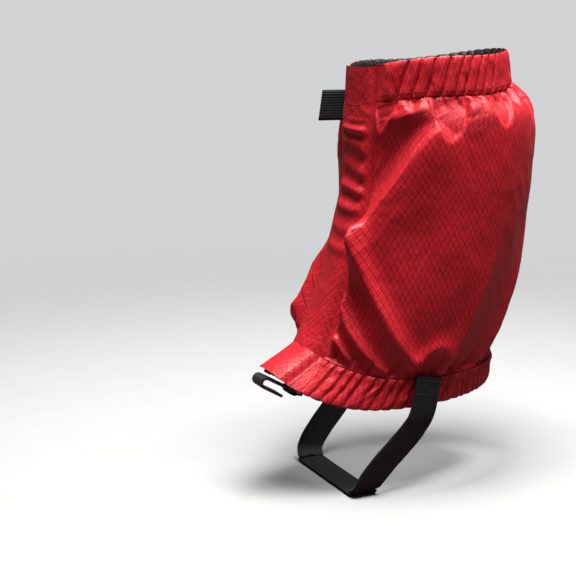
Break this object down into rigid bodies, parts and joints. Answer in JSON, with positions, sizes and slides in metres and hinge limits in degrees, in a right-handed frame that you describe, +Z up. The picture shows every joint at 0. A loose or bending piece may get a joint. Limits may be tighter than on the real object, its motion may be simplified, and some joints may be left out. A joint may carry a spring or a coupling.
{
  "type": "ankle gaiter",
  "caption": "Short fabric ankle gaiter with elastic gathered ends, a hook-and-loop front flap with pull tab, a lace hook and an elastic instep strap.",
  "frame": {"origin": "middle of the underside of the instep strap, where it lies on the ground under the shoe's arch", "axes": "+Z up the leg, -Y towards the toe, +X towards the outer side of the left foot"},
  "size_m": [0.1222, 0.198, 0.2853],
  "materials": {
    "ripstop": "satin ripstop nylon",
    "lining": "dark coated inner face",
    "webbing": "ribbed black webbing",
    "elastic": "ribbed black elastic",
    "hook_tape": "hook fastener tape",
    "loop_tape": "loop fastener tape",
    "hook_metal": "black coated, worn edges"
  },
  "bodies": {
    "rear_shell": {"rear_panel": "ripstop", "rear_top_casing": "ripstop", "rear_top_elastic": "elastic", "rear_bottom_casing": "ripstop", "rear_bottom_elastic": "elastic"},
    "lateral_front": {"lateral_panel": "ripstop", "lateral_top_casing": "ripstop", "lateral_top_elastic": "elastic", "lateral_bottom_casing": "ripstop", "lateral_bottom_elastic": "elastic", "lower_flap": "ripstop", "lower_hook_tape": "hook_tape", "hook_loop": "webbing"},
    "medial_front": {"medial_panel": "ripstop", "medial_top_casing": "ripstop", "medial_top_elastic": "elastic", "medial_bottom_casing": "ripstop", "medial_bottom_elastic": "elastic", "inner_placket": "lining", "loop_tape": "loop_tape"},
    "flap_top": {"upper_flap": "ripstop", "upper_hook_tape": "hook_tape"},
    "tab": {"pull_tab": "webbing"},
    "hook": {"lace_hook": "hook_metal"},
    "strap": {"instep_strap": "elastic"}
  },
  "joints": [
    {"name": "lateral_front_open", "type": "hinge", "parent": "rear_shell", "child": "lateral_front", "pos_m": [0.0488, 0.016, 0.057], "axis": [0.0366, 0.1961, 0.9799], "range_deg": [0, 100]},
    {"name": "medial_front_open", "type": "hinge", "parent": "rear_shell", "child": "medial_front", "pos_m": [-0.0488, 0.016, 0.057], "axis": [-0.0366, 0.1961, 0.9799], "range_deg": [-50, 0]},
    {"name": "flap_peel", "type": "hinge", "parent": "lateral_front", "child": "flap_top", "pos_m": [0.0182, 0.0098, 0.194], "axis": [0.0015, 0.0567, 0.9984], "range_deg": [0, 140]},
    {"name": "tab_flex", "type": "hinge", "parent": "flap_top", "child": "tab", "pos_m": [-0.0163, 0.0118, 0.249], "axis": [0, 0, 1], "range_deg": [-20, 60]},
    {"name": "hook_swivel", "type": "hinge", "parent": "lateral_front", "child": "hook", "pos_m": [0, -0.0345, 0.0662], "axis": [1, 0, 0], "range_deg": [0, 60]},
    {"name": "strap_swing", "type": "hinge", "parent": "rear_shell", "child": "strap", "pos_m": [0, 0.042, 0.078], "axis": [1, 0, 0], "range_deg": [-20, 30]}
  ],
  "couplings": [
    {"joint": "medial_front_open", "follows": "lateral_front_open", "ratio": -0.5}
  ]
}
